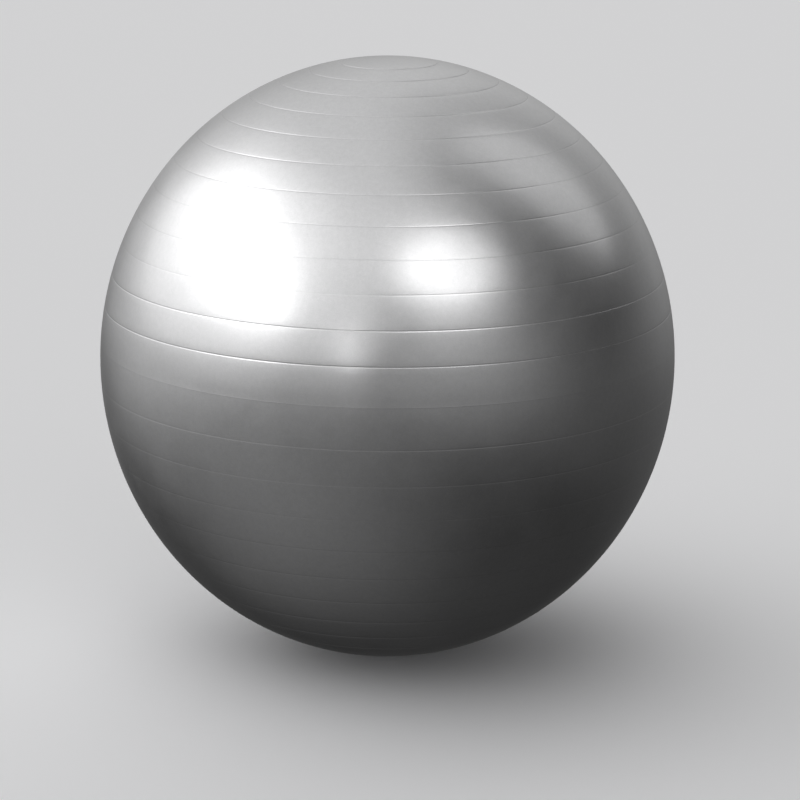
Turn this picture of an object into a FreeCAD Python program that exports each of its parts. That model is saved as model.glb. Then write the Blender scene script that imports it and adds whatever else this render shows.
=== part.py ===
"""Inflatable exercise ball: a hollow ringed skin, a moulded-in valve seat and a push-in plug.

Frame: +Z up along the ball's mould axis, origin on the ground at the centre of the resting patch.
The valve looks out along +Y at the ball's widest level.
"""
import FreeCAD
import Part
import Sketcher
import os

# Driving dimensions: millimetres, and degrees for the grooves' places on the mould.
DRIVING_SIZES = {
    # skin
    "equator_radius": 311.0,
    "pole_radius": 326.2,
    "rest_radius": 36.0,
    "wall": 0.9,
    # ring grooves: each half of the mould spaces them from the parting line to its own pole; they are
    # deeper towards the pole, and so are the first ones above the smooth band
    "parting_latitude": 4.0,
    "groove_first": 7.4,
    "groove_pitch": 6.6,
    "groove_round": 4.0,
    "groove_depth": 0.06,
    "groove_deepening": 0.44,
    "first_grooves_extra": 0.09,
    # boss on the inside of the skin, around the valve
    "boss_radius": 15.0,
    "boss_depth": 7.0,
    # valve seat
    "seat_radius": 9.0,
    "seat_inset": 0.2,
    "seat_depth": 24.0,
    "seat_tip_radius": 7.5,
    "flange_radius": 12.0,
    "flange_depth": 2.9,
    "flange_thickness": 2.0,
    "bore_radius": 4.5,
    "pocket_radius": 7.5,
    "pocket_depth": 2.8,
    # valve plug
    "head_radius": 7.2,
    "head_inset": 0.3,
    "head_gap": 0.05,
    "dish_radius": 5.2,
    "dish_depth": 0.5,
    "stem_radius": 3.9,
    "stem_depth": 26.0,
    "tip_radius": 3.2,
    "tip_length": 2.5,
    "core_radius": 1.9,
    "core_depth": 5.0,
    "fit_clearance": 0.05,
    "ring_first": 7.0,
    "ring_pitch": 5.5,
    "ring_length": 1.4,
    "ring_slope": 0.6,
    # how far a cut runs past the face it opens, and a ring's root reaches into the stem
    "overshoot": 1.0,
}
GROOVES_PER_HALF = 12
FIRST_GROOVES = 2
PLUG_RINGS = 3

# The resting patch cuts the skin's ellipse this far below its centre.
CENTRE_HEIGHT = "sizes.pole_radius * sqrt(1 - (sizes.rest_radius / sizes.equator_radius)^2)"


def make_sheet(doc):
    """Put the driving dimensions in a spreadsheet, one aliased cell each."""
    sheet = doc.addObject("Spreadsheet::Sheet", "sizes")
    for row, (alias, value) in enumerate(DRIVING_SIZES.items(), start=1):
        sheet.set(f"A{row}", alias)
        sheet.set(f"B{row}", str(value))
        sheet.setAlias(f"B{row}", alias)
    doc.recompute()


def make_body(doc, label):
    """Start a sub-part."""
    body = doc.addObject("PartDesign::Body", label)
    body.Label = label
    return body


def make_sketch(body, name, role):
    """Attach an empty sketch to one of the body's own origin planes."""
    sketch = body.newObject("Sketcher::SketchObject", name)
    plane = next(item for item in body.Origin.OriginFeatures if item.Role == role)
    sketch.AttachmentSupport = [(plane, "")]
    sketch.MapMode = "FlatFace"
    return sketch


def turn(body, kind, sketch, name, axis):
    """Turn a sketch's outline fully about one of its axes, as a Revolution or a Groove."""
    feature = body.newObject(f"PartDesign::{kind}", name)
    feature.Profile = sketch
    feature.ReferenceAxis = (sketch, [axis])
    feature.Angle = 360
    body.Tip = feature
    return feature


def bind(sketch, constraint, formula):
    """Add a constraint and drive its value by an expression."""
    index = sketch.addConstraint(constraint)
    sketch.setExpression(f"Constraints[{index}]", formula)


def bind_point(sketch, geometry, position, across, up):
    """Hold a point at two coordinates, each an expression, or "0" for a point on that axis."""
    for kind, formula, axis in (("DistanceX", across, -2), ("DistanceY", up, -1)):
        if formula == "0":
            sketch.addConstraint(Sketcher.Constraint("PointOnObject", geometry, position, axis))
        else:
            bind(sketch, Sketcher.Constraint(kind, -1, 1, geometry, position, 1.0), formula)


def draw_outline(sketch, corners):
    """Draw a closed outline of straight edges through (across, up) corners given as expressions."""
    count = len(corners)
    starts = [FreeCAD.Vector(1.0 + number, float(number % 3), 0.0) for number in range(count)]
    for number in range(count):
        sketch.addGeometry(Part.LineSegment(starts[number], starts[(number + 1) % count]))
    for number in range(count):
        sketch.addConstraint(Sketcher.Constraint("Coincident", number, 2, (number + 1) % count, 1))
    for number, (across, up) in enumerate(corners):
        bind_point(sketch, number, 1, across, up)


def draw_spheroid(sketch, inset):
    """Draw half the skin's section, cut flat at the resting patch, `inset` (expression) inside it."""
    # Rough starting values; the constraints below set the true ones.
    equator = 300.0
    pole = 320.0
    flat = 310.0
    top = FreeCAD.Vector(0.0, pole, 0.0)
    ellipse = Part.Ellipse(-top, FreeCAD.Vector(equator, 0.0, 0.0), FreeCAD.Vector(0.0, 0.0, 0.0))
    patch_centre = FreeCAD.Vector(0.0, -flat, 0.0)
    patch_edge = FreeCAD.Vector(equator * (1.0 - (flat / pole) ** 2) ** 0.5, -flat, 0.0)
    ends = (ellipse.parameter(patch_edge), ellipse.parameter(top))
    arc = sketch.addGeometry(Part.ArcOfEllipse(ellipse, *ends))
    axis_line = sketch.addGeometry(Part.LineSegment(top, patch_centre))
    patch_line = sketch.addGeometry(Part.LineSegment(patch_centre, patch_edge))
    sketch.exposeInternalGeometry(arc)
    major_line = patch_line + 1
    minor_line = patch_line + 2
    sketch.addConstraint(Sketcher.Constraint("Coincident", arc, 3, -1, 1))
    sketch.addConstraint(Sketcher.Constraint("Vertical", major_line))
    height = Sketcher.Constraint("Distance", major_line, 2.0 * pole)
    width = Sketcher.Constraint("Distance", minor_line, 2.0 * equator)
    bind(sketch, height, f"2 * (sizes.pole_radius - {inset})")
    bind(sketch, width, f"2 * (sizes.equator_radius - {inset})")
    sketch.addConstraint(Sketcher.Constraint("Coincident", arc, 2, axis_line, 1))
    sketch.addConstraint(Sketcher.Constraint("Coincident", axis_line, 2, patch_line, 1))
    sketch.addConstraint(Sketcher.Constraint("Coincident", patch_line, 2, arc, 1))
    sketch.addConstraint(Sketcher.Constraint("PointOnObject", axis_line, 1, -2))
    sketch.addConstraint(Sketcher.Constraint("PointOnObject", axis_line, 2, -2))
    sketch.addConstraint(Sketcher.Constraint("Horizontal", patch_line))
    bind(sketch, Sketcher.Constraint("DistanceY", axis_line, 2, -1, 1, flat), f"{CENTRE_HEIGHT} - {inset}")


def cut_grooves(body):
    """Sink the mould's shallow ring grooves, each the rim of a round section centred outside the skin."""
    halves = (
        ("upper", "(90 - sizes.parting_latitude)", FIRST_GROOVES),
        ("lower", "(-90 - sizes.parting_latitude)", 0),
    )
    for half, span, deeper_count in halves:
        for number in range(GROOVES_PER_HALF):
            share = f"(sizes.groove_first + {number} * sizes.groove_pitch) / 90"
            latitude = f"(sizes.parting_latitude + {span} * {share})"
            deepening = f"sizes.groove_deepening * ({number} / {GROOVES_PER_HALF - 1})^3"
            extra = "sizes.first_grooves_extra" if number < deeper_count else "0"
            depth = f"(sizes.groove_depth + {deepening} + {extra})"
            sketch = make_sketch(body, f"{half}_groove_section_{number + 1}", "XZ_Plane")
            circle = sketch.addGeometry(Part.Circle())
            bind(sketch, Sketcher.Constraint("Radius", circle, 1.0), "sizes.groove_round")
            across = f"(sizes.equator_radius - {depth} + sizes.groove_round) * cos{latitude}"
            up = f"(sizes.pole_radius - {depth} + sizes.groove_round) * sin{latitude}"
            bind_point(sketch, circle, 3, across, up)
            turn(body, "Groove", sketch, f"{half}_groove_{number + 1}", "V_Axis")


def make_ball_skin(doc):
    """Thin hollow skin with ring grooves, a flat resting patch and a thick boss around the valve."""
    body = make_body(doc, "ball_skin")
    body.setExpression("Placement.Base.z", CENTRE_HEIGHT)

    outside = make_sketch(body, "outside_section", "XZ_Plane")
    draw_spheroid(outside, "0")
    turn(body, "Revolution", outside, "outside", "V_Axis")
    cut_grooves(body)

    inside = make_sketch(body, "inside_section", "XZ_Plane")
    draw_spheroid(inside, "sizes.wall")
    turn(body, "Groove", inside, "inside", "V_Axis")

    # The boss and its hole turn about the valve's axis, which is the sketch's H axis.
    boss_outer_end = "sizes.equator_radius - sizes.wall / 2"
    boss_inner_end = "sizes.equator_radius - sizes.boss_depth"
    boss = make_sketch(body, "boss_section", "YZ_Plane")
    draw_outline(boss, [
        (boss_inner_end, "0"),
        (boss_outer_end, "0"),
        (boss_outer_end, "sizes.boss_radius"),
        (boss_inner_end, "sizes.boss_radius"),
    ])
    turn(body, "Revolution", boss, "boss", "H_Axis")

    flange_outer = "sizes.equator_radius - sizes.flange_depth"
    flange_inner = "sizes.equator_radius - sizes.flange_depth - sizes.flange_thickness"
    hole_inner_end = "sizes.equator_radius - sizes.boss_depth - sizes.overshoot"
    hole_outer_end = "sizes.equator_radius + sizes.overshoot"
    hole = make_sketch(body, "valve_hole_section", "YZ_Plane")
    draw_outline(hole, [
        (hole_inner_end, "0"),
        (hole_outer_end, "0"),
        (hole_outer_end, "sizes.seat_radius"),
        (flange_outer, "sizes.seat_radius"),
        (flange_outer, "sizes.flange_radius"),
        (flange_inner, "sizes.flange_radius"),
        (flange_inner, "sizes.seat_radius"),
        (hole_inner_end, "sizes.seat_radius"),
    ])
    turn(body, "Groove", hole, "valve_hole", "H_Axis")
    return body


def place_in_valve(body):
    """Put a valve piece at the ball's widest level, its local Z pointing into the ball along -Y."""
    quarter_turn = FreeCAD.Rotation(FreeCAD.Vector(1.0, 0.0, 0.0), 90.0)
    body.Placement = FreeCAD.Placement(FreeCAD.Vector(), quarter_turn)
    body.setExpression("Placement.Base.y", "sizes.equator_radius")
    body.setExpression("Placement.Base.z", CENTRE_HEIGHT)


def make_valve_seat(doc):
    """Soft sleeve held in the boss by its flange, with a bore and a pocket for the plug's head."""
    body = make_body(doc, "valve_seat")
    place_in_valve(body)
    section = make_sketch(body, "seat_section", "XZ_Plane")
    flange_end = "sizes.flange_depth + sizes.flange_thickness"
    draw_outline(section, [
        ("sizes.pocket_radius", "sizes.seat_inset"),
        ("sizes.seat_radius", "sizes.seat_inset"),
        ("sizes.seat_radius", "sizes.flange_depth"),
        ("sizes.flange_radius", "sizes.flange_depth"),
        ("sizes.flange_radius", flange_end),
        ("sizes.seat_radius", flange_end),
        ("sizes.seat_radius", "sizes.boss_depth"),
        ("sizes.seat_tip_radius", "sizes.seat_depth"),
        ("sizes.bore_radius", "sizes.seat_depth"),
        ("sizes.bore_radius", "sizes.pocket_depth"),
        ("sizes.pocket_radius", "sizes.pocket_depth"),
    ])
    turn(body, "Revolution", section, "sleeve", "V_Axis")
    return body


def make_valve_plug(doc):
    """Stopper with a dished flat head, a hollow stem and sealing rings that run in the seat's bore."""
    body = make_body(doc, "valve_plug")
    place_in_valve(body)
    section = make_sketch(body, "plug_section", "XZ_Plane")
    head_end = "sizes.pocket_depth - sizes.head_gap"
    draw_outline(section, [
        ("0", "sizes.head_inset"),
        ("sizes.head_radius", "sizes.head_inset"),
        ("sizes.head_radius", head_end),
        ("sizes.stem_radius", head_end),
        ("sizes.stem_radius", "sizes.stem_depth - sizes.tip_length"),
        ("sizes.tip_radius", "sizes.stem_depth"),
        ("0", "sizes.stem_depth"),
    ])
    turn(body, "Revolution", section, "head_and_stem", "V_Axis")

    ring_radius = "sizes.bore_radius - sizes.fit_clearance"
    root_radius = "sizes.stem_radius - sizes.overshoot"
    for number in range(PLUG_RINGS):
        start = f"sizes.ring_first + {number} * sizes.ring_pitch"
        ring = make_sketch(body, f"ring_section_{number + 1}", "XZ_Plane")
        draw_outline(ring, [
            (root_radius, start),
            (ring_radius, start),
            (ring_radius, f"{start} + sizes.ring_length - sizes.ring_slope"),
            ("sizes.stem_radius", f"{start} + sizes.ring_length"),
            (root_radius, f"{start} + sizes.ring_length"),
        ])
        turn(body, "Revolution", ring, f"ring_{number + 1}", "V_Axis")

    core = make_sketch(body, "core_section", "XZ_Plane")
    draw_outline(core, [
        ("0", "sizes.core_depth"),
        ("sizes.core_radius", "sizes.core_depth"),
        ("sizes.core_radius", "sizes.stem_depth + sizes.overshoot"),
        ("0", "sizes.stem_depth + sizes.overshoot"),
    ])
    turn(body, "Groove", core, "core", "V_Axis")

    dish = make_sketch(body, "dish_section", "XZ_Plane")
    draw_outline(dish, [
        ("0", "sizes.head_inset - sizes.overshoot"),
        ("sizes.dish_radius + sizes.overshoot", "sizes.head_inset - sizes.overshoot"),
        ("sizes.dish_radius", "sizes.head_inset + sizes.dish_depth"),
        ("0", "sizes.head_inset + sizes.dish_depth"),
    ])
    turn(body, "Groove", dish, "dish", "V_Axis")
    return body


def check_steps(body):
    """Stop if a feature of the body left its volume unchanged, as a cut in the wrong direction does."""
    volume = 0.0
    for item in body.Group:
        if item.isDerivedFrom("PartDesign::Feature"):
            if abs(item.Shape.Volume - volume) < 1e-3:
                raise RuntimeError(f"{body.Label}.{item.Name} changed nothing")
            volume = item.Shape.Volume


def check_and_write(doc, bodies):
    """Check every object and shape, then write one STEP file for each sub-part."""
    for item in doc.Objects:
        if "Invalid" in item.State or "Error" in item.State:
            raise RuntimeError(f"{item.Name}: {item.State}")
    for body in bodies:
        shape = body.Shape
        if shape.isNull() or not shape.isValid() or len(shape.Solids) != 1:
            raise RuntimeError(f"{body.Label} is not one valid solid")
        check_steps(body)
    os.makedirs("parts", exist_ok=True)
    for body in bodies:
        body.Shape.exportStep(f"parts/{body.Label}.step")
        box = body.Shape.BoundBox
        print(f"{body.Label}: {body.Shape.Volume:.1f} mm3, z {box.ZMin:.2f} to {box.ZMax:.2f}")


def main():
    doc = FreeCAD.newDocument("exercise_ball")
    make_sheet(doc)
    bodies = [make_ball_skin(doc), make_valve_seat(doc), make_valve_plug(doc)]
    doc.recompute()
    check_and_write(doc, bodies)


main()
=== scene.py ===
"""Looks of the exercise ball: a seamless ringed skin, the valve seat in its back and the push-in plug.

Metres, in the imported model's frame: +Z up, the floor at Z = 0, the valve looking out along +Y.
"""
import math

import bpy
from mathutils import Euler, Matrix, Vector


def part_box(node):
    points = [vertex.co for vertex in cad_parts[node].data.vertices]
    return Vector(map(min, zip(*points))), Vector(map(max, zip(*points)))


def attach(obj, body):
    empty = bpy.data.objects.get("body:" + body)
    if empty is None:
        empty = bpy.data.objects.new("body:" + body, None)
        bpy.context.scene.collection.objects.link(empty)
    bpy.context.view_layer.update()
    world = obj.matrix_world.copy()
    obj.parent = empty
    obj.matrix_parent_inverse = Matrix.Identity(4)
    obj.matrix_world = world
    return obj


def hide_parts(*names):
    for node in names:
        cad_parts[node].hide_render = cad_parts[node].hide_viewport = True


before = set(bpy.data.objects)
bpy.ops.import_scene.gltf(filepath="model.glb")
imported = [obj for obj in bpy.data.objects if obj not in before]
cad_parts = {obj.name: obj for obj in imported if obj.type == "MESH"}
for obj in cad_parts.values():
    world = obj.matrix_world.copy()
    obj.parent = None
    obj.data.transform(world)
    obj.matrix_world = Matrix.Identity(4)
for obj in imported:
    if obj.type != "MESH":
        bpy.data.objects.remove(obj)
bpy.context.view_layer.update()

MM = 0.001

# The spheroid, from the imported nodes: the valve sits at the skin's widest level.
SKIN_LOW, SKIN_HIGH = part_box("ball_skin")
PLUG_LOW, PLUG_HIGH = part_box("valve_plug")
CENTRE_Z = (PLUG_LOW.z + PLUG_HIGH.z) / 2
EQUATOR = (SKIN_HIGH.x - SKIN_LOW.x) / 2
POLE = SKIN_HIGH.z - CENTRE_Z
CENTRE = Vector((0.0, 0.0, CENTRE_Z))
WALL = 0.9 * MM

# Ring grooves: each half of the mould spaces them from the parting line to its own pole, in degrees.
# They are deeper towards the pole, and so are the first ones above the smooth band.
PARTING_LATITUDE = 4.0
GROOVE_FIRST = 7.4
GROOVE_PITCH = 6.6
GROOVES_PER_HALF = 12
GROOVE_HALF_WIDTH = 1.1 * MM
GROOVE_DEPTH = 0.06 * MM
GROOVE_DEEPENING = 0.44 * MM
FIRST_GROOVES = 2
FIRST_GROOVES_EXTRA = 0.09 * MM
PARTING_HALF_WIDTH = 0.7 * MM
PARTING_HEIGHT = 0.03 * MM

# Mesh density of the skin.
COLUMNS = 240
FINE_COLUMNS_PER_STEP = 6
ROWS_ACROSS_GROOVE = 10
ROWS_BETWEEN_GROOVES = 6
ROWS_IN_BAND = 24
ROWS_IN_CAP = 16
INNER_ROWS = 36
WINDOW_LOOPS = 10
REST_BLEND = 0.6 * MM

# Valve sizes: radii, and depths under the skin's outermost level.
HOLE_RADIUS = 9.0 * MM
HOLE_EDGE = 0.5 * MM
HOLE_EDGE_DEPTH = 0.14 * MM
WINDOW_MARGIN = 5.0 * MM
BOSS_RADIUS = 15.0 * MM
BOSS_DEPTH = 7.0 * MM
FLANGE_RADIUS = 12.0 * MM
FLANGE_DEPTH = 2.9 * MM
FLANGE_THICKNESS = 2.0 * MM
SEAT_INSET = 0.2 * MM
SEAT_DEPTH = 24.0 * MM
SEAT_TIP_RADIUS = 7.5 * MM
BORE_RADIUS = 4.5 * MM
POCKET_RADIUS = 7.5 * MM
POCKET_DEPTH = 2.8 * MM
HEAD_RADIUS = 7.2 * MM
HEAD_INSET = 0.3 * MM
HEAD_GAP = 0.05 * MM
DISH_RADIUS = 5.2 * MM
DISH_SLOPE = 0.5 * MM
DISH_DEPTH = 0.5 * MM
GATE_MARK_RADIUS = 0.8 * MM
GATE_MARK_FOOT = 1.0 * MM
GATE_MARK_INSET = 0.35 * MM
STEM_RADIUS = 3.9 * MM
STEM_DEPTH = 26.0 * MM
TIP_RADIUS = 3.2 * MM
TIP_LENGTH = 2.5 * MM
CORE_RADIUS = 1.9 * MM
CORE_DEPTH = 5.0 * MM
RING_CLEARANCE = 0.05 * MM
RING_FIRST = 7.0 * MM
RING_PITCH = 5.5 * MM
RING_LENGTH = 1.4 * MM
RING_SLOPE = 0.6 * MM
PLUG_RINGS = 3
LATHE_SEGMENTS = 96
ON_AXIS = 1e-9


# ---------------------------------------------------------------------------------------------
# Meshes
# ---------------------------------------------------------------------------------------------

def make_object(name, vertices, faces):
    """A smooth-shaded mesh object from plain lists."""
    mesh = bpy.data.meshes.new(name)
    mesh.from_pydata(vertices, [], faces)
    mesh.validate()
    mesh.polygons.foreach_set("use_smooth", [True] * len(mesh.polygons))
    piece = bpy.data.objects.new(name, mesh)
    bpy.context.scene.collection.objects.link(piece)
    return piece


def steps_between(start, end, count):
    """Evenly spaced values after `start`, up to and including `end`."""
    return [start + (end - start) * step / count for step in range(1, count + 1)]


def groove_sizes():
    """Latitude in degrees and depth of every ring groove, from the bottom to the top.

    The skin is stretched least near the poles, so the grooves are deepest there. The first ones above
    the smooth band are deeper than their neighbours.
    """
    grooves = []
    for pole, deeper_count in ((-90, 0), (90, FIRST_GROOVES)):
        for number in range(GROOVES_PER_HALF):
            share = (GROOVE_FIRST + GROOVE_PITCH * number) / 90
            latitude = PARTING_LATITUDE + (pole - PARTING_LATITUDE) * share
            depth = GROOVE_DEPTH + GROOVE_DEEPENING * (number / (GROOVES_PER_HALF - 1)) ** 3
            if number < deeper_count:
                depth += FIRST_GROOVES_EXTRA
            grooves.append((latitude, depth))
    return sorted(grooves)


GROOVES = groove_sizes()


def bump_height(distance, half_width, height):
    """A smooth ridge or groove across its own width."""
    if distance >= half_width:
        return 0.0
    return height * math.cos(math.pi / 2 * distance / half_width) ** 2


def relief(latitude):
    """Height of the skin over its plain spheroid at a latitude in degrees."""
    from_parting = abs(math.radians(latitude - PARTING_LATITUDE)) * EQUATOR
    height = bump_height(from_parting, PARTING_HALF_WIDTH, PARTING_HEIGHT)
    for centre, depth in GROOVES:
        from_groove = abs(math.radians(latitude - centre)) * EQUATOR
        height += bump_height(from_groove, GROOVE_HALF_WIDTH, -depth)
    return height


def outer_rows():
    """Latitudes of the outer face's rows, close together across the grooves and the parting line."""
    lines = [(centre, GROOVE_HALF_WIDTH) for centre, depth in GROOVES]
    lines.append((PARTING_LATITUDE, PARTING_HALF_WIDTH))
    rows = []
    previous = -90.0
    for centre, half_width in sorted(lines):
        reach = math.degrees(half_width / EQUATOR)
        count = ROWS_BETWEEN_GROOVES
        if previous == -90.0:
            count = ROWS_IN_CAP
        elif centre == PARTING_LATITUDE:
            count = ROWS_IN_BAND
        rows += steps_between(previous, centre - reach, count)
        rows += steps_between(centre - reach, centre + reach, ROWS_ACROSS_GROOVE)
        previous = centre + reach
    return rows + steps_between(previous, 90.0, ROWS_IN_CAP)[:-1]


def band_limits():
    """Latitudes of the smooth band's lower edge and of the parting line's lower edge."""
    low = max(centre for centre, depth in GROOVES if centre < PARTING_LATITUDE)
    return (low + math.degrees(GROOVE_HALF_WIDTH / EQUATOR),
            PARTING_LATITUDE - math.degrees(PARTING_HALF_WIDTH / EQUATOR))


def inner_rows():
    """Latitudes of the plain inner face's rows; it has the outer face's rows behind the valve's band."""
    low, high = band_limits()
    rows = steps_between(-90.0, low, INNER_ROWS)
    rows += steps_between(low, high, ROWS_IN_BAND)
    return rows + steps_between(high, 90.0, INNER_ROWS)[:-1]


def column_angles():
    """Longitudes of the skin's columns from the front (-Y), and half the width of the valve's window.

    The columns are close together across the window.
    """
    step = 360.0 / COLUMNS
    half_window = math.ceil(math.degrees((BOSS_RADIUS + WINDOW_MARGIN) / EQUATOR) / step) * step
    start = 180.0 - half_window
    end = 180.0 + half_window
    plain_steps = round((180 - half_window) / step)
    first = [start - step * number for number in range(plain_steps, -1, -1)]
    fine = steps_between(start, end, round(2 * half_window / step) * FINE_COLUMNS_PER_STEP)
    last = [end + step * number for number in range(1, plain_steps)]
    return first + fine + last, half_window


def skin_point(latitude, longitude, inset):
    """A point of the skin, `inset` inside its outer face, flattened where it rests on the floor."""
    height = -inset if inset else relief(latitude)
    across = math.cos(math.radians(latitude))
    z = CENTRE_Z + (POLE + height) * math.sin(math.radians(latitude)) - inset
    z = 0.5 * (z + math.hypot(z, REST_BLEND)) + inset
    angle = math.radians(longitude)
    radius = (EQUATOR + height) * across
    return Vector((radius * math.sin(angle), -radius * math.cos(angle), z))


def back_point(x, up, inset):
    """The skin's point at the back with the given x and height over the ball's centre."""
    inside = 1.0 - (x / (EQUATOR - inset)) ** 2 - (up / (POLE - inset)) ** 2
    return Vector((x, (EQUATOR - inset) * math.sqrt(inside), CENTRE_Z + up))


def valve_point(radius, depth, angle):
    """A point at a radius from the valve's axis and a depth under the skin's outermost level."""
    return Vector((radius * math.cos(angle), EQUATOR - depth, CENTRE_Z + radius * math.sin(angle)))


def add_face_grid(vertices, faces, rows, inset, outward):
    """One face of the skin with a square window at the valve; returns the window's loop of vertices."""
    columns, half_window = column_angles()
    low, high = band_limits()
    first_row = min(range(len(rows)), key=lambda index: abs(rows[index] - low))
    last_row = min(range(len(rows)), key=lambda index: abs(rows[index] - high))
    first_column = min(range(len(columns)), key=lambda index: abs(columns[index] - 180 + half_window))
    last_column = min(range(len(columns)), key=lambda index: abs(columns[index] - 180 - half_window))
    number = {}
    for row, latitude in enumerate(rows):
        for column, longitude in enumerate(columns):
            if first_row < row < last_row and first_column < column < last_column:
                # inside the window
                continue
            number[row, column] = len(vertices)
            vertices.append(skin_point(latitude, longitude, inset))
    bottom = len(vertices)
    vertices.append(skin_point(-90.0, 0.0, inset))
    top = len(vertices)
    vertices.append(skin_point(90.0, 0.0, inset))

    def add(*corners):
        faces.append(corners if outward else corners[::-1])

    for column in range(len(columns)):
        following = (column + 1) % len(columns)
        add(bottom, number[0, following], number[0, column])
        add(top, number[len(rows) - 1, column], number[len(rows) - 1, following])
        for row in range(len(rows) - 1):
            if first_row <= row < last_row and first_column <= column < last_column:
                continue
            low_edge = (number[row, column], number[row, following])
            add(*low_edge, number[row + 1, following], number[row + 1, column])

    loop = [number[first_row, column] for column in range(first_column, last_column)]
    loop += [number[row, last_column] for row in range(first_row, last_row)]
    loop += [number[last_row, column] for column in range(last_column, first_column, -1)]
    loop += [number[row, first_column] for row in range(last_row, first_row, -1)]
    return loop


def bridge(faces, loop, following, outward):
    """Join two loops of equal length with quads."""
    count = len(loop)
    for index in range(count):
        after = (index + 1) % count
        corners = (loop[index], loop[after], following[after], following[index])
        faces.append(corners if outward else corners[::-1])


def close_window(vertices, faces, loop, radius, inset, outward):
    """Fill the window from its square loop to a circle of the given radius; returns the circle's loop."""
    square = [(vertices[index].x, vertices[index].z - CENTRE_Z) for index in loop]
    angles = [math.atan2(up, x) for x, up in square]
    for step in range(1, WINDOW_LOOPS + 1):
        share = step / WINDOW_LOOPS
        following = []
        for (x, up), angle in zip(square, angles):
            ring_x = x + (radius * math.cos(angle) - x) * share
            ring_up = up + (radius * math.sin(angle) - up) * share
            following.append(len(vertices))
            vertices.append(back_point(ring_x, ring_up, inset))
        bridge(faces, loop, following, outward)
        loop = following
    return loop, angles


def make_ball_skin():
    """The skin as one closed mesh: a ringed outer face, a plain inner face and a boss round the valve."""
    vertices = []
    faces = []
    outer_loop = add_face_grid(vertices, faces, outer_rows(), 0.0, True)
    outer_loop, angles = close_window(vertices, faces, outer_loop, HOLE_RADIUS + HOLE_EDGE, 0.0, True)
    inner_loop = add_face_grid(vertices, faces, inner_rows(), WALL, False)
    inner_loop, _ = close_window(vertices, faces, inner_loop, BOSS_RADIUS, WALL, False)

    edge = []
    for turn in (0.5, 1.0, math.pi / 2):
        across = HOLE_RADIUS + HOLE_EDGE * (1 - math.sin(turn))
        edge.append((across, HOLE_EDGE_DEPTH + HOLE_EDGE * (1 - math.cos(turn))))
    flange_end = FLANGE_DEPTH + FLANGE_THICKNESS
    wall = edge + [
        (HOLE_RADIUS, FLANGE_DEPTH), (FLANGE_RADIUS, FLANGE_DEPTH), (FLANGE_RADIUS, flange_end),
        (HOLE_RADIUS, flange_end), (HOLE_RADIUS, BOSS_DEPTH), (BOSS_RADIUS - HOLE_EDGE, BOSS_DEPTH),
        (BOSS_RADIUS, BOSS_DEPTH - HOLE_EDGE),
    ]
    loop = outer_loop
    for radius, depth in wall:
        following = []
        for angle in angles:
            following.append(len(vertices))
            vertices.append(valve_point(radius, depth, angle))
        bridge(faces, loop, following, True)
        loop = following
    bridge(faces, loop, inner_loop, True)
    return make_object("skin", vertices, faces)


def round_corners(corners, steps=4):
    """Replace each (radius, depth, rounding) corner by a short curve; rounding 0 leaves it sharp."""
    points = []
    count = len(corners)
    for index, (across, deep, rounding) in enumerate(corners):
        here = Vector((across, deep))
        if rounding == 0.0:
            points.append(here)
            continue
        before = Vector(corners[index - 1][:2])
        after = Vector(corners[(index + 1) % count][:2])
        start = here + (before - here).normalized() * min(rounding, (before - here).length * 0.45)
        end = here + (after - here).normalized() * min(rounding, (after - here).length * 0.45)
        for step in range(steps + 1):
            share = step / steps
            points.append(start.lerp(here, share).lerp(here.lerp(end, share), share))
    return points


def lathe(name, corners, closed):
    """Turn a section about the valve's axis. An open section starts and ends on the axis."""
    points = round_corners(corners)
    vertices = []
    rings = []
    for point in points:
        segments = 1 if point.x < ON_AXIS else LATHE_SEGMENTS
        ring = []
        for segment in range(segments):
            ring.append(len(vertices))
            vertices.append(valve_point(point.x, point.y, 2 * math.pi * segment / segments))
        rings.append(ring)
    faces = []
    pairs = list(zip(rings, rings[1:]))
    if closed:
        pairs.append((rings[-1], rings[0]))
    for ring, following in pairs:
        for segment in range(LATHE_SEGMENTS):
            after = (segment + 1) % LATHE_SEGMENTS
            if len(ring) == 1:
                faces.append((ring[0], following[after], following[segment]))
            elif len(following) == 1:
                faces.append((ring[segment], ring[after], following[0]))
            else:
                faces.append((ring[segment], ring[after], following[after], following[segment]))
    return make_object(name, vertices, faces)


def make_valve_seat():
    """The sleeve: its rim flush with the skin, a pocket for the plug's head and a bore through it."""
    flange_end = FLANGE_DEPTH + FLANGE_THICKNESS
    return lathe("seat", [
        (POCKET_RADIUS, SEAT_INSET, 0.25 * MM),
        (HOLE_RADIUS, SEAT_INSET, 0.35 * MM),
        (HOLE_RADIUS, FLANGE_DEPTH, 0.0),
        (FLANGE_RADIUS, FLANGE_DEPTH, 0.0),
        (FLANGE_RADIUS, flange_end, 0.0),
        (HOLE_RADIUS, flange_end, 0.0),
        (HOLE_RADIUS, BOSS_DEPTH, 0.0),
        (SEAT_TIP_RADIUS, SEAT_DEPTH, 0.8 * MM),
        (BORE_RADIUS, SEAT_DEPTH, 0.6 * MM),
        (BORE_RADIUS, POCKET_DEPTH, 0.4 * MM),
        (POCKET_RADIUS, POCKET_DEPTH, 0.3 * MM),
    ], closed=True)


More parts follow.
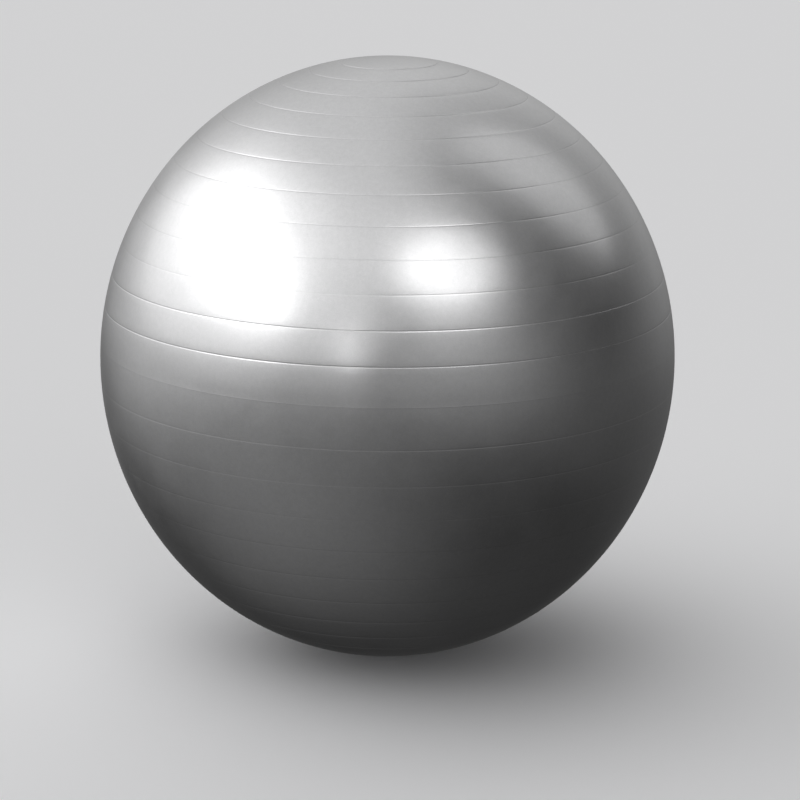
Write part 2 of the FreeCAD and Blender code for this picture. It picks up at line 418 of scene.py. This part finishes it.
def make_valve_plug():
    """The stopper: a dished head with the mould's gate mark, and a hollow stem with sealing rings."""
    head_end = POCKET_DEPTH - HEAD_GAP
    ring_radius = BORE_RADIUS - RING_CLEARANCE
    section = [
        (0.0, HEAD_INSET + GATE_MARK_INSET, 0.0),
        (GATE_MARK_RADIUS, HEAD_INSET + GATE_MARK_INSET, 0.15 * MM),
        (GATE_MARK_FOOT, HEAD_INSET + DISH_DEPTH, 0.15 * MM),
        (DISH_RADIUS, HEAD_INSET + DISH_DEPTH, 0.5 * MM),
        (DISH_RADIUS + DISH_SLOPE, HEAD_INSET, 0.2 * MM),
        (HEAD_RADIUS, HEAD_INSET, 0.5 * MM),
        (HEAD_RADIUS, head_end, 0.3 * MM),
        (STEM_RADIUS, head_end, 0.2 * MM),
    ]
    for number in range(PLUG_RINGS):
        start = RING_FIRST + number * RING_PITCH
        section += [
            (STEM_RADIUS, start, 0.1 * MM),
            (ring_radius, start, 0.2 * MM),
            (ring_radius, start + RING_LENGTH - RING_SLOPE, 0.3 * MM),
            (STEM_RADIUS, start + RING_LENGTH, 0.2 * MM),
        ]
    section += [
        (STEM_RADIUS, STEM_DEPTH - TIP_LENGTH, 0.8 * MM),
        (TIP_RADIUS, STEM_DEPTH, 0.5 * MM),
        (CORE_RADIUS, STEM_DEPTH, 0.3 * MM),
        (CORE_RADIUS, CORE_DEPTH, 0.3 * MM),
        (0.0, CORE_DEPTH, 0.0),
    ]
    return lathe("plug", section, closed=False)


# ---------------------------------------------------------------------------------------------
# Materials
# ---------------------------------------------------------------------------------------------

# A noise node's values lie mostly between these two.
NOISE_LOW = 0.3
NOISE_HIGH = 0.7

# Painted light along the grooves, as factors on the skin's tone: a painted highlight makes the ones
# beside the smooth band lighter, and from PLAIN_GROOVE on, counted from 0 towards each pole, painted
# shade makes them slightly darker.
FIRST_GROOVE_PAINTED_HIGHLIGHT = 1.12
PLAIN_GROOVE = 3.0
PLAIN_GROOVE_PAINTED_SHADE = 0.94


class Nodes:
    """Small helper that adds and links shader nodes of one material or world."""

    def __init__(self, owner):
        owner.use_nodes = True
        self.tree = owner.node_tree
        self.tree.nodes.clear()

    def add(self, kind, **settings):
        node = self.tree.nodes.new(kind)
        for name, value in settings.items():
            setattr(node, name, value)
        return node

    def link(self, output, target):
        self.tree.links.new(output, target)

    def coordinates(self, kind):
        return self.add("ShaderNodeTexCoord").outputs[kind]

    def remap(self, value, low, high, to_low, to_high, interpolation="LINEAR"):
        node = self.add("ShaderNodeMapRange", interpolation_type=interpolation)
        limits = {"From Min": low, "From Max": high, "To Min": to_low, "To Max": to_high}
        for name, number in limits.items():
            node.inputs[name].default_value = number
        self.link(value, node.inputs["Value"])
        return node.outputs["Result"]

    def noise(self, vector, scale, detail, roughness=0.5):
        node = self.add("ShaderNodeTexNoise")
        set_inputs(node, Scale=scale, Detail=detail, Roughness=roughness)
        self.link(vector, node.inputs["Vector"])
        return node.outputs["Fac"]

    def noise_between(self, low, high, vector, scale, detail, roughness=0.5):
        """Noise spread from one value to another."""
        return self.remap(self.noise(vector, scale, detail, roughness), NOISE_LOW, NOISE_HIGH, low, high)

    def calculate(self, operation, first, second):
        """A Math node; each operand is an output or a float."""
        node = self.add("ShaderNodeMath", operation=operation)
        for socket, value in zip(node.inputs, (first, second)):
            if isinstance(value, float):
                socket.default_value = value
            else:
                self.link(value, socket)
        return node.outputs["Value"]

    def tinted(self, tone, red, green, blue):
        """A colour with each channel a share of the tone."""
        colour = self.add("ShaderNodeCombineColor")
        for channel, share in (("Red", red), ("Green", green), ("Blue", blue)):
            value = tone if share == 1.0 else self.calculate("MULTIPLY", tone, share)
            self.link(value, colour.inputs[channel])
        return colour.outputs["Color"]

    def bump(self, height, distance, normal=None):
        node = self.add("ShaderNodeBump")
        set_inputs(node, Strength=1.0, Distance=distance)
        self.link(height, node.inputs["Height"])
        if normal is not None:
            self.link(normal, node.inputs["Normal"])
        return node.outputs["Normal"]


def set_inputs(node, **values):
    """Set a shader node's constant inputs; underscores in a name stand for spaces."""
    for name, value in values.items():
        node.inputs[name.replace("_", " ")].default_value = value


def start_material(name, **constants):
    """A new material, its nodes and its surface shader with the given constant inputs."""
    material = bpy.data.materials.new(name)
    nodes = Nodes(material)
    shader = nodes.add("ShaderNodeBsdfPrincipled")
    set_inputs(shader, **constants)
    output = nodes.add("ShaderNodeOutputMaterial")
    nodes.link(shader.outputs["BSDF"], output.inputs["Surface"])
    return material, nodes, shader


def painted_groove_light(nodes, place):
    """Factor on the skin's tone: 1 between the ring grooves, and painted light along their middles: a
    painted highlight beside the smooth band, painted shade nearer the poles.
    """
    parts = nodes.add("ShaderNodeSeparateXYZ")
    nodes.link(place, parts.inputs["Vector"])
    height = nodes.remap(parts.outputs["Z"], CENTRE_Z - POLE, CENTRE_Z + POLE, -1.0, 1.0)
    latitude = nodes.calculate("MULTIPLY", nodes.calculate("ARCSINE", height, 0.0), 180 / math.pi)
    above = nodes.remap(latitude, PARTING_LATITUDE, 90.0, 0.0, 90.0)
    below = nodes.remap(latitude, PARTING_LATITUDE, -90.0, 0.0, 90.0)
    past_first = nodes.calculate("SUBTRACT", nodes.calculate("ADD", above, below), GROOVE_FIRST)
    number = nodes.calculate("DIVIDE", past_first, GROOVE_PITCH)
    nearest = nodes.calculate("MAXIMUM", nodes.calculate("ROUND", number, 0.0), 0.0)
    nearest = nodes.calculate("MINIMUM", nearest, GROOVES_PER_HALF - 1.0)
    offset = nodes.calculate("ABSOLUTE", nodes.calculate("SUBTRACT", number, nearest), 0.0)
    reach = math.degrees(GROOVE_HALF_WIDTH / EQUATOR) / GROOVE_PITCH
    middle = nodes.remap(offset, 0.0, reach, 1.0, 0.0, "SMOOTHSTEP")
    painted_light_change = nodes.remap(nearest, 0.0, PLAIN_GROOVE, FIRST_GROOVE_PAINTED_HIGHLIGHT - 1, PLAIN_GROOVE_PAINTED_SHADE - 1)
    return nodes.calculate("ADD", nodes.calculate("MULTIPLY", middle, painted_light_change), 1.0)


def silver_pvc():
    """Silver-grey PVC full of fine metallic flakes under a smooth clear surface."""
    material, nodes, shader = start_material(
        "silver_pvc", Metallic=1.0, Coat_Weight=0.3, Coat_Roughness=0.18, Coat_IOR=1.5)
    place = nodes.coordinates("Object")

    # Wide clouding, mottling of about 5 mm and flakes of about 1 mm.
    tone = nodes.noise_between(0.43, 0.47, place, 7.0, 3.0)
    tone = nodes.calculate("ADD", tone, nodes.noise_between(-0.014, 0.014, place, 190.0, 3.0, 0.6))
    tone = nodes.calculate("ADD", tone, nodes.noise_between(-0.024, 0.024, place, 900.0, 2.0, 0.7))
    # Painted light in the grooves: a painted highlight along the first ones beside the smooth band, painted
    # shade along the others.
    tone = nodes.calculate("MULTIPLY", tone, painted_groove_light(nodes, place))
    nodes.link(nodes.tinted(tone, 1.0, 1.0, 1.01), shader.inputs["Base Color"])
    nodes.link(nodes.noise_between(0.33, 0.39, place, 16.0, 4.0, 0.6), shader.inputs["Roughness"])

    # A fine orange peel over the slight waves of a stretched skin.
    waves = nodes.bump(nodes.noise(place, 12.0, 2.0), 0.4 * MM)
    nodes.link(nodes.bump(nodes.noise(place, 160.0, 2.0), 0.03 * MM, waves), shader.inputs["Normal"])
    return material


def valve_pvc():
    """The seat's softer, darker grey PVC."""
    material, nodes, shader = start_material("valve_pvc", Coat_Weight=0.15, Coat_Roughness=0.3)
    place = nodes.coordinates("Object")
    tone = nodes.noise_between(0.17, 0.21, place, 420.0, 3.0)
    nodes.link(nodes.tinted(tone, 1.0, 1.0, 1.0), shader.inputs["Base Color"])
    nodes.link(nodes.noise_between(0.42, 0.52, place, 420.0, 3.0), shader.inputs["Roughness"])
    nodes.link(nodes.bump(nodes.noise(place, 1500.0, 2.0), 0.02 * MM), shader.inputs["Normal"])
    return material


def plug_plastic():
    """The plug's off-white polyethylene, a little waxy, with fine handling marks."""
    material, nodes, shader = start_material("plug_plastic", IOR=1.51)
    place = nodes.coordinates("Object")
    tone = nodes.noise_between(0.74, 0.80, place, 260.0, 3.0)
    nodes.link(nodes.tinted(tone, 1.0, 0.99, 0.96), shader.inputs["Base Color"])
    nodes.link(nodes.noise_between(0.34, 0.48, place, 700.0, 4.0), shader.inputs["Roughness"])
    nodes.link(nodes.bump(nodes.noise(place, 2500.0, 2.0), 0.01 * MM), shader.inputs["Normal"])
    return material


def pale_floor():
    """Matte pale grey studio floor."""
    material, _, _ = start_material("pale_floor", Base_Color=(0.9, 0.9, 0.91, 1.0), Roughness=0.9)
    return material


# ---------------------------------------------------------------------------------------------
# Studio
# ---------------------------------------------------------------------------------------------

# How bright the room is at heights from straight down (-1) to straight up (1), the brightest of them,
# and by what share it is brighter at the right and darker at the left.
ROOM_LEVELS = (
    (-1.0, 0.05), (-0.6, 0.03), (-0.25, 0.10), (0.0, 0.37), (0.25, 0.62), (0.6, 1.0), (1.0, 1.3))
ROOM_PEAK = 1.3
ROOM_TILT = 0.6
# Soft round patches of the room: azimuth, elevation, inner and outer radius in degrees, and then what
# a glow adds to the room at its middle, or what a flag leaves of it.
GLOWS = ((-55.0, -35.0, 0.0, 80.0, 0.26), (-110.0, 20.0, 0.0, 60.0, 0.85))
FLAGS = ((94.0, 33.0, 24.0, 70.0, 0.06), (-14.0, 17.0, 0.0, 37.0, 0.0))
# What the camera sees beyond the floor.
BACKDROP_COLOUR = (0.66, 0.66, 0.67, 1.0)
# Softboxes: azimuth, elevation, half width and half height in degrees, turn about the aim, radiance.
SOFTBOXES = {
    "key_box": (-70.0, 32.0, 59.0, 32.0, 3.0, 0.78),
    "key_core": (-73.0, 33.0, 30.0, 12.0, -18.0, 4.1),
    "front_box": (29.0, 41.0, 18.5, 11.5, -10.0, 3.0),
    "small_box": (-15.0, 14.0, 2.0, 8.0, 4.0, 9.0),
    "right_box": (114.0, 43.0, 15.0, 26.5, 0.0, 1.0),
}
LIGHT_DISTANCE = 6.0
FLOOR_REACH = 40.0


def direction(azimuth, elevation):
    """Unit vector towards an azimuth (0 = the camera's side, 90 = +X) and an elevation, in degrees."""
    turn = math.radians(azimuth)
    rise = math.radians(elevation)
    return Vector((math.sin(turn) * math.cos(rise), -math.cos(turn) * math.cos(rise), math.sin(rise)))


def add_softbox(name, unlit, azimuth, elevation, half_width, half_height, turn, radiance):
    """An elliptical area light of given angular half sizes (degrees), facing the ball's centre."""
    light = bpy.data.lights.new(name, "AREA")
    light.shape = "ELLIPSE"
    light.size = 2 * LIGHT_DISTANCE * math.tan(math.radians(half_width))
    light.size_y = 2 * LIGHT_DISTANCE * math.tan(math.radians(half_height))
    area = math.pi * light.size * light.size_y / 4
    light.energy = radiance * math.pi * area
    lamp = bpy.data.objects.new(name, light)
    towards = direction(azimuth, elevation)
    lamp.location = CENTRE + towards * LIGHT_DISTANCE
    lamp.rotation_mode = "QUATERNION"
    spin = Euler((0.0, 0.0, math.radians(turn))).to_quaternion()
    lamp.rotation_quaternion = towards.to_track_quat("Z", "Y") @ spin
    lamp.visible_camera = False
    lamp.light_linking.receiver_collection = unlit
    bpy.context.scene.collection.objects.link(lamp)


def world_patch(nodes, place, azimuth, elevation, inner, outer, middle, outside):
    """A soft round patch of the room: one value within the inner angle, another beyond the outer one."""
    dot = nodes.add("ShaderNodeVectorMath", operation="DOT_PRODUCT")
    nodes.link(place, dot.inputs[0])
    dot.inputs[1].default_value = direction(azimuth, elevation)
    angle = nodes.calculate("ARCCOSINE", dot.outputs["Value"], 0.0)
    return nodes.remap(angle, math.radians(inner), math.radians(outer), middle, outside, "SMOOTHSTEP")


def make_world():
    """A dim room, brighter overhead and at the right, with glows at the left and two black flags."""
    world = bpy.data.worlds.new("studio")
    bpy.context.scene.world = world
    nodes = Nodes(world)
    place = nodes.coordinates("Generated")
    parts = nodes.add("ShaderNodeSeparateXYZ")
    nodes.link(place, parts.inputs["Vector"])
    ramp = nodes.add("ShaderNodeValToRGB")
    nodes.link(nodes.remap(parts.outputs["Z"], -1.0, 1.0, 0.0, 1.0), ramp.inputs["Fac"])
    while len(ramp.color_ramp.elements) < len(ROOM_LEVELS):
        ramp.color_ramp.elements.new(0.5)
    for element, (height, level) in zip(ramp.color_ramp.elements, ROOM_LEVELS):
        element.position = (height + 1) / 2
        element.color = (level / ROOM_PEAK, level / ROOM_PEAK, level / ROOM_PEAK, 1.0)
    side = nodes.remap(parts.outputs["X"], -1.0, 1.0, 1 - ROOM_TILT, 1 + ROOM_TILT)
    level = nodes.calculate("MULTIPLY", nodes.calculate("MULTIPLY", ramp.outputs["Color"], side), ROOM_PEAK)
    for glow in GLOWS:
        level = nodes.calculate("ADD", level, world_patch(nodes, place, *glow, 0.0))
    for flag in FLAGS:
        level = nodes.calculate("MULTIPLY", level, world_patch(nodes, place, *flag, 1.0))
    room = nodes.add("ShaderNodeBackground")
    set_inputs(room, Color=(1.0, 1.0, 1.0, 1.0))
    nodes.link(level, room.inputs["Strength"])
    backdrop = nodes.add("ShaderNodeBackground")
    set_inputs(backdrop, Color=BACKDROP_COLOUR)
    mix = nodes.add("ShaderNodeMixShader")
    nodes.link(nodes.add("ShaderNodeLightPath").outputs["Is Camera Ray"], mix.inputs["Fac"])
    nodes.link(room.outputs["Background"], mix.inputs[1])
    nodes.link(backdrop.outputs["Background"], mix.inputs[2])
    nodes.link(mix.outputs["Shader"], nodes.add("ShaderNodeOutputWorld").inputs["Surface"])


def make_floor():
    """A wide floor that the ball doesn't mirror; returns the collection that keeps softboxes off it.

    The room alone lights the floor, so that it stays even in every view.
    """
    sides = ((-1, -1), (1, -1), (1, 1), (-1, 1))
    corners = [(FLOOR_REACH * x, FLOOR_REACH * y, 0.0) for x, y in sides]
    floor = make_object("floor", corners, [(0, 1, 2, 3)])
    floor.data.materials.append(pale_floor())
    floor.visible_glossy = False
    floor.visible_diffuse = False
    unlit = bpy.data.collections.new("unlit_by_softboxes")
    unlit.objects.link(floor)
    unlit.collection_objects[0].light_linking.link_state = "EXCLUDE"
    return unlit


# The camera: distance in equator radii, angles in degrees, and where the ball's centre falls in the
# 800 by 800 picture, as shares of its width from the middle.
CAMERA_DISTANCE = 10.67
CAMERA_ELEVATION = 13.57
CAMERA_ROLL = 0.29
BALL_WIDTH_SHARE = 0.718
CENTRE_ACROSS = -0.0155
CENTRE_UP = 0.0538
SENSOR = 36.0
NEAREST_SEEN = 0.05
FARTHEST_SEEN = 200.0


def make_camera():
    """A long lens at the viewing angle, turned so that the ball's centre lies a little off the middle."""
    data = bpy.data.cameras.new("camera")
    data.sensor_width = SENSOR
    tangent = 1 / math.sqrt(CAMERA_DISTANCE ** 2 - 1)
    data.lens = SENSOR * BALL_WIDTH_SHARE / (2 * tangent)
    data.clip_start = NEAREST_SEEN
    data.clip_end = FARTHEST_SEEN
    camera = bpy.data.objects.new("camera", data)
    bpy.context.scene.collection.objects.link(camera)
    back = direction(0.0, CAMERA_ELEVATION)
    camera.location = CENTRE + back * (CAMERA_DISTANCE * EQUATOR)
    per_share = SENSOR / data.lens
    facing = back.to_track_quat("Z", "Y")
    roll = Euler((0.0, 0.0, math.radians(CAMERA_ROLL))).to_quaternion()
    tilt = -math.atan(CENTRE_UP * per_share)
    pan = math.atan(CENTRE_ACROSS * per_share)
    aim = Euler((tilt, pan, 0.0)).to_quaternion()
    camera.rotation_mode = "QUATERNION"
    camera.rotation_quaternion = facing @ roll @ aim
    bpy.context.scene.camera = camera


def make_studio():
    """Room, floor, camera and softboxes: a large one at the left with a bright core, and three smaller."""
    make_world()
    unlit = make_floor()
    make_camera()
    for name, box in SOFTBOXES.items():
        add_softbox(name, unlit, *box)
    bpy.context.scene.view_settings.view_transform = "Standard"


# ---------------------------------------------------------------------------------------------
# Assembly
# ---------------------------------------------------------------------------------------------

def add_piece(piece, material, node, body):
    """Give a piece its material, attach it to the body it moves with and hide the imported part it stands
    for.
    """
    piece.data.materials.append(material)
    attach(piece, body)
    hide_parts(node)


make_studio()
add_piece(make_ball_skin(), silver_pvc(), "ball_skin", "ball")
add_piece(make_valve_seat(), valve_pvc(), "valve_seat", "ball")
add_piece(make_valve_plug(), plug_plastic(), "valve_plug", "plug")
